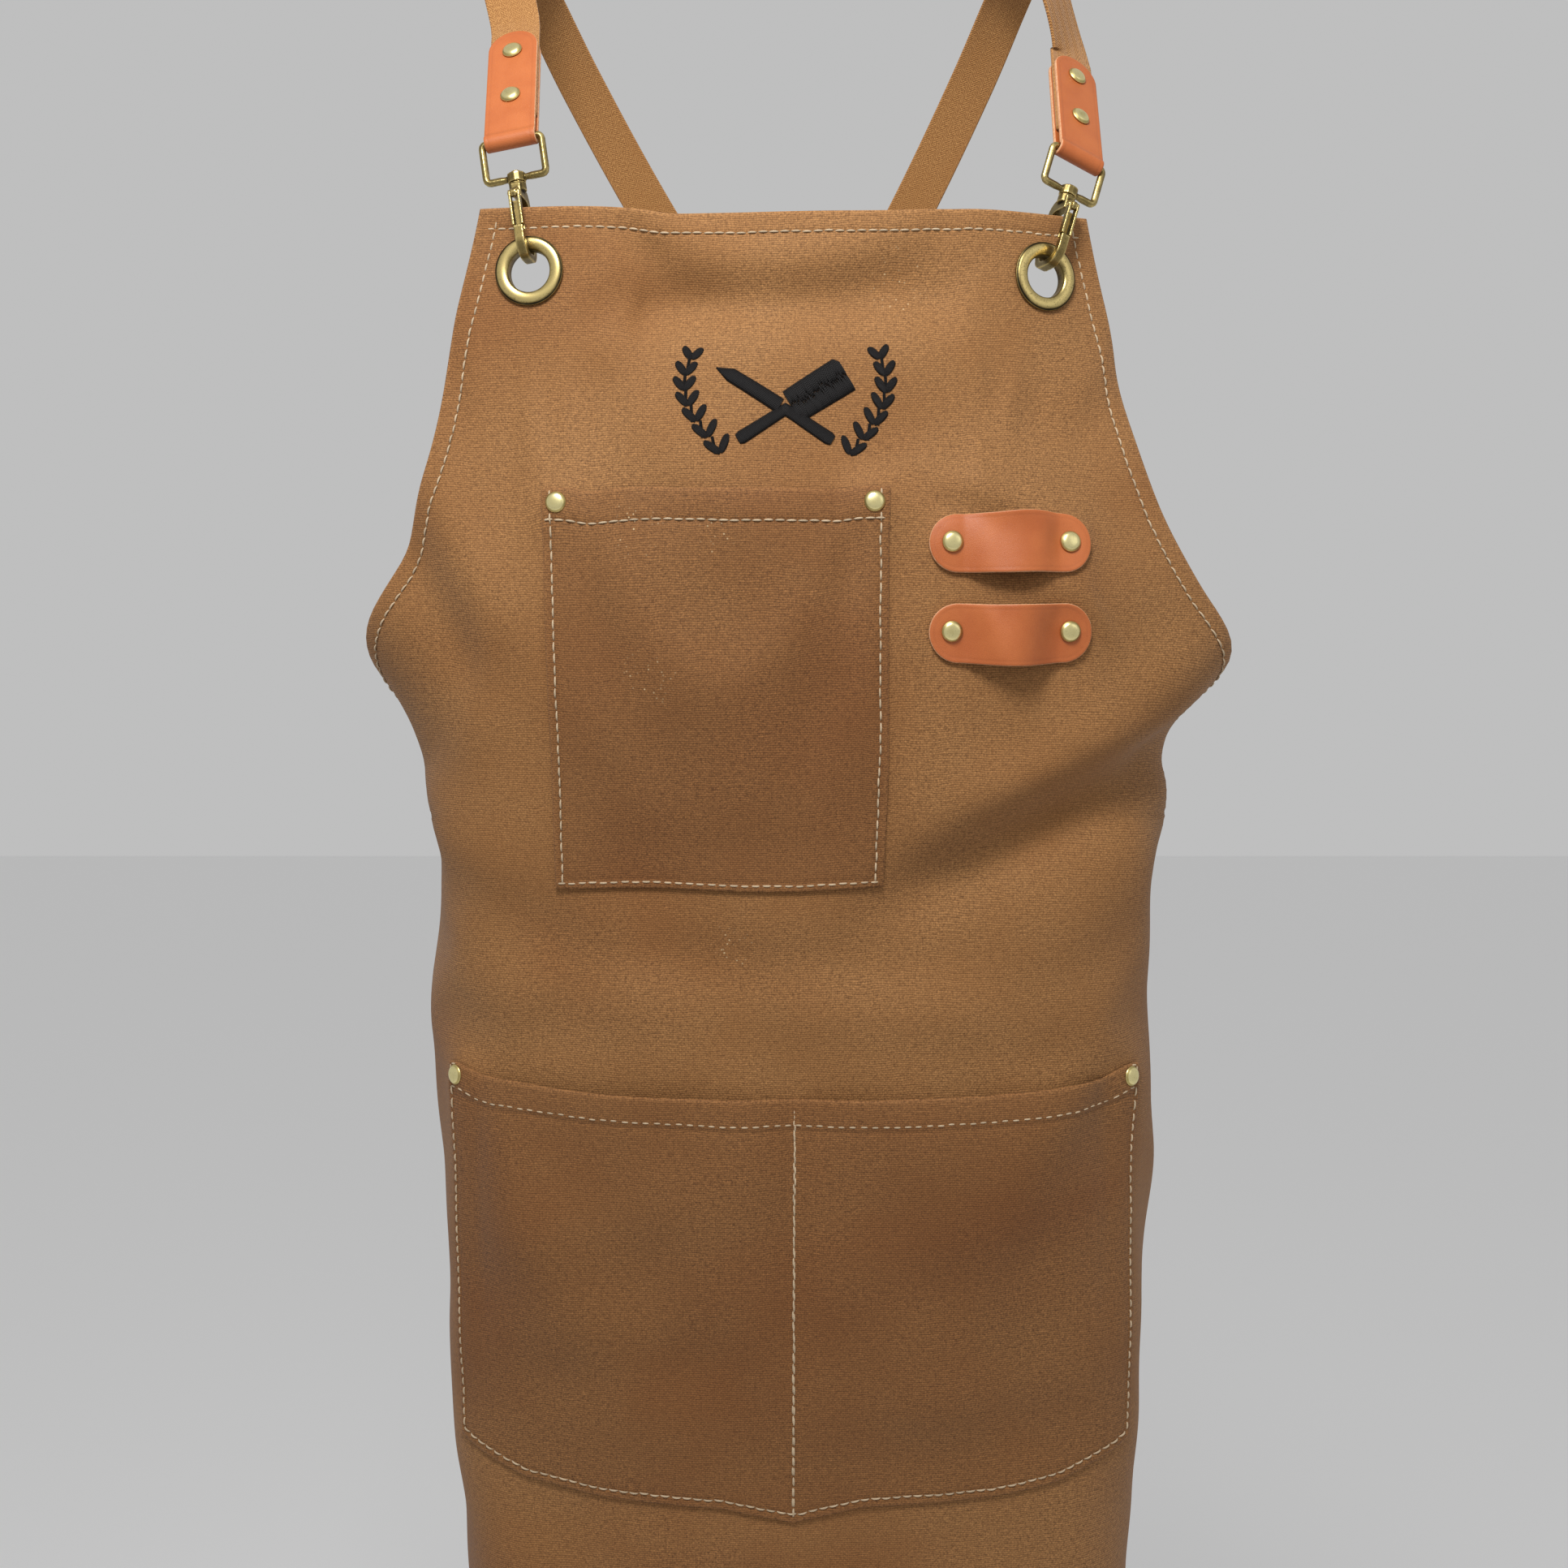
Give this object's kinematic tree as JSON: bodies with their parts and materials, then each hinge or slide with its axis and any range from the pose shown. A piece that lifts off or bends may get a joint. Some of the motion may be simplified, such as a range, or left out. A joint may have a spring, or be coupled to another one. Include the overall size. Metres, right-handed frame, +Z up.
{
  "type": "butcher apron",
  "caption": "Worn-shape canvas bib apron with cross-back webbing straps, leather tabs and holders, brass eyelets, swivel snap hooks, chest pocket and divided lower pocket.",
  "frame": {"origin": "midway between the two places where the straps rest on the wearer's shoulders", "axes": "+X to the right seen from the front, -Y to the front, +Z up"},
  "size_m": [0.4269, 0.2497, 1.014],
  "materials": {
    "canvas": "waxed, matt with a soft sheen",
    "pocket_canvas": "waxed, matt with a soft sheen",
    "leather": "smooth, lightly worn",
    "webbing": "ribbed cotton",
    "brass": "antique, dark in the hollows",
    "steel": "plain"
  },
  "bodies": {
    "apron": {"chest_pocket_rivet_left": "brass", "chest_pocket_rivet_right": "brass", "chest_pocket": "pocket_canvas", "lower_pocket_rivet_left": "brass", "lower_pocket_rivet_right": "brass", "lower_pocket": "pocket_canvas", "upper_holder_rivet_inner": "brass", "upper_holder_rivet_outer": "brass", "upper_leather_holder": "leather", "lower_holder_rivet_inner": "brass", "lower_holder_rivet_outer": "brass", "lower_leather_holder": "leather", "bib_left_eyelet": "brass", "bib_left_eyelet_washer": "brass", "waist_left_eyelet": "brass", "waist_left_eyelet_washer": "brass", "bib_right_eyelet": "brass", "bib_right_eyelet_washer": "brass", "waist_right_eyelet": "brass", "waist_right_eyelet_washer": "brass", "apron_panel": "canvas", "left_leather_tab": "leather", "left_tab_rivet_lower": "brass", "left_tab_rivet_upper": "brass", "left_webbing_strap": "webbing", "right_leather_tab": "leather", "right_tab_rivet_lower": "brass", "right_tab_rivet_upper": "brass", "right_webbing_strap": "webbing"},
    "bib_left_loop": {"bib_left_swivel_loop": "brass"},
    "bib_left_hook": {"bib_left_hook": "brass", "bib_left_gate_pin": "steel"},
    "bib_left_gate": {"bib_left_gate": "brass", "bib_left_gate_spring": "steel"},
    "bib_right_loop": {"bib_right_swivel_loop": "brass"},
    "bib_right_hook": {"bib_right_hook": "brass", "bib_right_gate_pin": "steel"},
    "bib_right_gate": {"bib_right_gate": "brass", "bib_right_gate_spring": "steel"},
    "waist_left_loop": {"waist_left_swivel_loop": "brass"},
    "waist_left_hook": {"waist_left_hook": "brass", "waist_left_gate_pin": "steel"},
    "waist_left_gate": {"waist_left_gate": "brass", "waist_left_gate_spring": "steel"},
    "waist_right_loop": {"waist_right_swivel_loop": "brass"},
    "waist_right_hook": {"waist_right_hook": "brass", "waist_right_gate_pin": "steel"},
    "waist_right_gate": {"waist_right_gate": "brass", "waist_right_gate_spring": "steel"},
    "left_slider": {"left_strap_slider": "brass"},
    "right_slider": {"right_strap_slider": "brass"}
  },
  "joints": [
    {"name": "bib_left_loop_hinge", "type": "hinge", "parent": "apron", "child": "bib_left_loop", "pos_m": [-0.13263, -0.10028, -0.11951], "axis": [0.9784, -0.1359, 0.1559], "range_deg": [-1, 1.5]},
    {"name": "bib_left_swivel", "type": "hinge", "parent": "bib_left_loop", "child": "bib_left_hook", "pos_m": [-0.12963, -0.10248, -0.14022], "axis": [-0.1423, 0.1047, 0.9843], "range_deg": [-13, 13]},
    {"name": "bib_left_gate_hinge", "type": "hinge", "parent": "bib_left_hook", "child": "bib_left_gate", "pos_m": [-0.1299, -0.11204, -0.14687], "axis": [0.9784, -0.1359, 0.1559], "range_deg": [0, 14], "stiffness_Nm_per_rad": 0.2, "springref_deg": -8.59},
    {"name": "bib_right_loop_hinge", "type": "hinge", "parent": "apron", "child": "bib_right_loop", "pos_m": [0.13844, -0.08057, -0.12251], "axis": [0.8679, 0.3612, -0.341], "range_deg": [-1, 1.5]},
    {"name": "bib_right_swivel", "type": "hinge", "parent": "bib_right_loop", "child": "bib_right_hook", "pos_m": [0.13249, -0.08491, -0.14224], "axis": [0.2824, 0.2059, 0.9369], "range_deg": [-13, 13]},
    {"name": "bib_right_gate_hinge", "type": "hinge", "parent": "bib_right_hook", "child": "bib_right_gate", "pos_m": [0.13401, -0.09455, -0.14858], "axis": [0.8679, 0.3612, -0.341], "range_deg": [0, 14], "stiffness_Nm_per_rad": 0.2, "springref_deg": -8.59},
    {"name": "waist_left_loop_hinge", "type": "hinge", "parent": "apron", "child": "waist_left_loop", "pos_m": [-0.10754, 0.05186, -0.41358], "axis": [-0.7081, -0.5418, 0.4528], "range_deg": [-1, 1.5]},
    {"name": "waist_left_swivel", "type": "hinge", "parent": "waist_left_loop", "child": "waist_left_hook", "pos_m": [-0.1161, 0.04741, -0.43229], "axis": [0.4069, 0.2111, 0.8888], "range_deg": [-13, 13]},
    {"name": "waist_left_gate_hinge", "type": "hinge", "parent": "waist_left_hook", "child": "waist_left_gate", "pos_m": [-0.12429, 0.05307, -0.43832], "axis": [-0.7081, -0.5418, 0.4528], "range_deg": [0, 14], "stiffness_Nm_per_rad": 0.2, "springref_deg": -8.59},
    {"name": "waist_right_loop_hinge", "type": "hinge", "parent": "apron", "child": "waist_right_loop", "pos_m": [0.11638, 0.04931, -0.41358], "axis": [-0.7034, 0.5479, -0.4529], "range_deg": [-1, 1.5]},
    {"name": "waist_right_swivel", "type": "hinge", "parent": "waist_right_loop", "child": "waist_right_hook", "pos_m": [0.1249, 0.04478, -0.43229], "axis": [-0.4048, 0.215, 0.8888], "range_deg": [-13, 13]},
    {"name": "waist_right_gate_hinge", "type": "hinge", "parent": "waist_right_hook", "child": "waist_right_gate", "pos_m": [0.13314, 0.05037, -0.43832], "axis": [-0.7034, 0.5479, -0.4529], "range_deg": [0, 14], "stiffness_Nm_per_rad": 0.2, "springref_deg": -8.59},
    {"name": "left_slider_slide", "type": "slide", "parent": "apron", "child": "left_slider", "axis": [-0.5341, 0.013, 0.8453], "range_m": [-0.03, 0.03]},
    {"name": "right_slider_slide", "type": "slide", "parent": "apron", "child": "right_slider", "axis": [0.5344, 0.008, 0.8452], "range_m": [-0.03, 0.03]}
  ]
}
